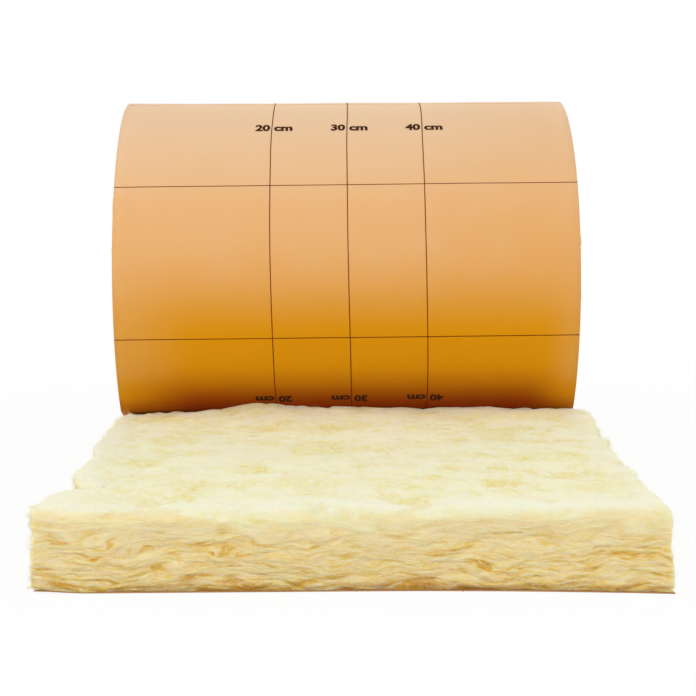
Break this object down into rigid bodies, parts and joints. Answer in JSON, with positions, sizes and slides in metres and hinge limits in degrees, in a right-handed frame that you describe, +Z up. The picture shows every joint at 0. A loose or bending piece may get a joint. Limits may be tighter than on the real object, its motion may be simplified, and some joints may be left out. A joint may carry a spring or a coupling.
{
  "type": "insulation roll",
  "caption": "Roll of glass wool insulation faced with kraft paper, partly unrolled, its free end lying flat in front of the roll with the paper underneath.",
  "frame": {"origin": "middle of the footprint, on the floor", "axes": "+X along the roll's axis, +Y from the tail's cut end to the back of the roll, +Z up"},
  "size_m": [0.6, 1.095, 0.49],
  "materials": {
    "wool": "matte",
    "kraft": "matte"
  },
  "bodies": {
    "root": {"glass_wool": "wool", "kraft_facing": "kraft"}
  },
  "joints": []
}
